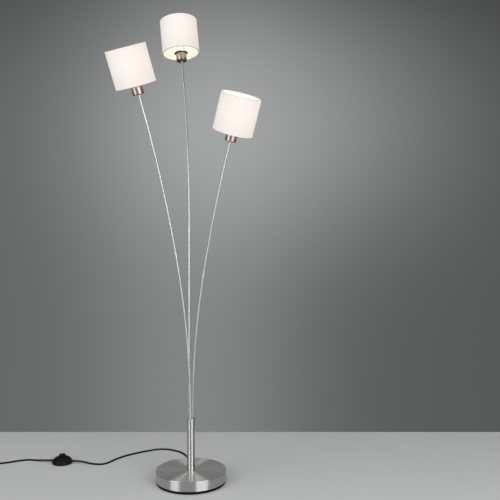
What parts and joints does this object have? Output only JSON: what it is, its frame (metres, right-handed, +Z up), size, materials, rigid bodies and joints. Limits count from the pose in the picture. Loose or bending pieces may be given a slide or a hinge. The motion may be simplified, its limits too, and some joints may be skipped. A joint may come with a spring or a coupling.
{
  "type": "tree floor lamp",
  "caption": "Floor lamp with a round weighted base, a short post and curved swivelling arms that carry fabric drum shades, with a foot switch in its lead.",
  "frame": {"origin": "middle of the underside of the base, on the floor", "axes": "+Z up along the post, -Y towards the front, +X to the lamp's right as seen from the front"},
  "size_m": [1.0292, 0.5769, 1.5421],
  "materials": {
    "black_foam": "matte",
    "black_lead": "satin",
    "black_plastic": "satin",
    "black_rubber": "matte",
    "brushed_nickel": "brushed",
    "cast_weight": "cast",
    "opal_glass": "opal",
    "pin_brass": "plated",
    "satin_nickel": "satin",
    "white_fabric": "woven",
    "white_plastic": "satin",
    "white_wire": "painted",
    "zinc_steel": "plated"
  },
  "bodies": {
    "base": {"base_cover": "brushed_nickel", "base_weight": "cast_weight", "clamp_nut": "zinc_steel", "floor_pad": "black_foam", "foot_pan": "black_plastic", "lead_coil": "black_lead", "lead_gland": "black_plastic", "lead_to_coil": "black_lead", "lead_to_switch": "black_lead", "pan_screws": "zinc_steel", "plug_body": "black_plastic", "plug_pins": "pin_brass", "post_cap": "brushed_nickel", "post_foot_plug": "zinc_steel", "post_tube": "brushed_nickel", "rod_seat": "zinc_steel", "switch_base": "black_plastic", "switch_cover": "black_plastic", "switch_screws": "zinc_steel", "switch_sleeves": "black_rubber", "switch_spring": "zinc_steel", "terminal_block": "white_plastic", "tie_tube": "zinc_steel"},
    "left_arm": {"left_bulb": "opal_glass", "left_collar": "zinc_steel", "left_coupler": "satin_nickel", "left_cup": "brushed_nickel", "left_fitter": "white_wire", "left_lampholder": "white_plastic", "left_lower_rod": "satin_nickel", "left_nipple": "satin_nickel", "left_ring_nut": "white_plastic", "left_shade": "white_fabric", "left_top_ring": "white_wire", "left_upper_rod": "satin_nickel"},
    "middle_arm": {"middle_bulb": "opal_glass", "middle_collar": "zinc_steel", "middle_coupler": "satin_nickel", "middle_cup": "brushed_nickel", "middle_fitter": "white_wire", "middle_lampholder": "white_plastic", "middle_lower_rod": "satin_nickel", "middle_nipple": "satin_nickel", "middle_ring_nut": "white_plastic", "middle_shade": "white_fabric", "middle_top_ring": "white_wire", "middle_upper_rod": "satin_nickel"},
    "right_arm": {"right_bulb": "opal_glass", "right_collar": "zinc_steel", "right_coupler": "satin_nickel", "right_cup": "brushed_nickel", "right_fitter": "white_wire", "right_lampholder": "white_plastic", "right_lower_rod": "satin_nickel", "right_nipple": "satin_nickel", "right_ring_nut": "white_plastic", "right_shade": "white_fabric", "right_top_ring": "white_wire", "right_upper_rod": "satin_nickel"},
    "button": {"switch_button": "black_plastic"}
  },
  "joints": [
    {"name": "left_arm_swivel", "type": "hinge", "parent": "base", "child": "left_arm", "pos_m": [-0.00084, -0.00594, 0.212], "axis": [0, 0, 1], "range_deg": [-25, 25]},
    {"name": "middle_arm_swivel", "type": "hinge", "parent": "base", "child": "middle_arm", "pos_m": [-0.0046, 0.00386, 0.212], "axis": [0, 0, 1], "range_deg": [-25, 25]},
    {"name": "right_arm_swivel", "type": "hinge", "parent": "base", "child": "right_arm", "pos_m": [0.00564, 0.00205, 0.212], "axis": [0, 0, 1], "range_deg": [-25, 25]},
    {"name": "switch_button_press", "type": "slide", "parent": "base", "child": "button", "axis": [0, 0, -1], "range_m": [0, 0.003], "stiffness_N_per_m": 600, "springref_m": -0.001}
  ]
}
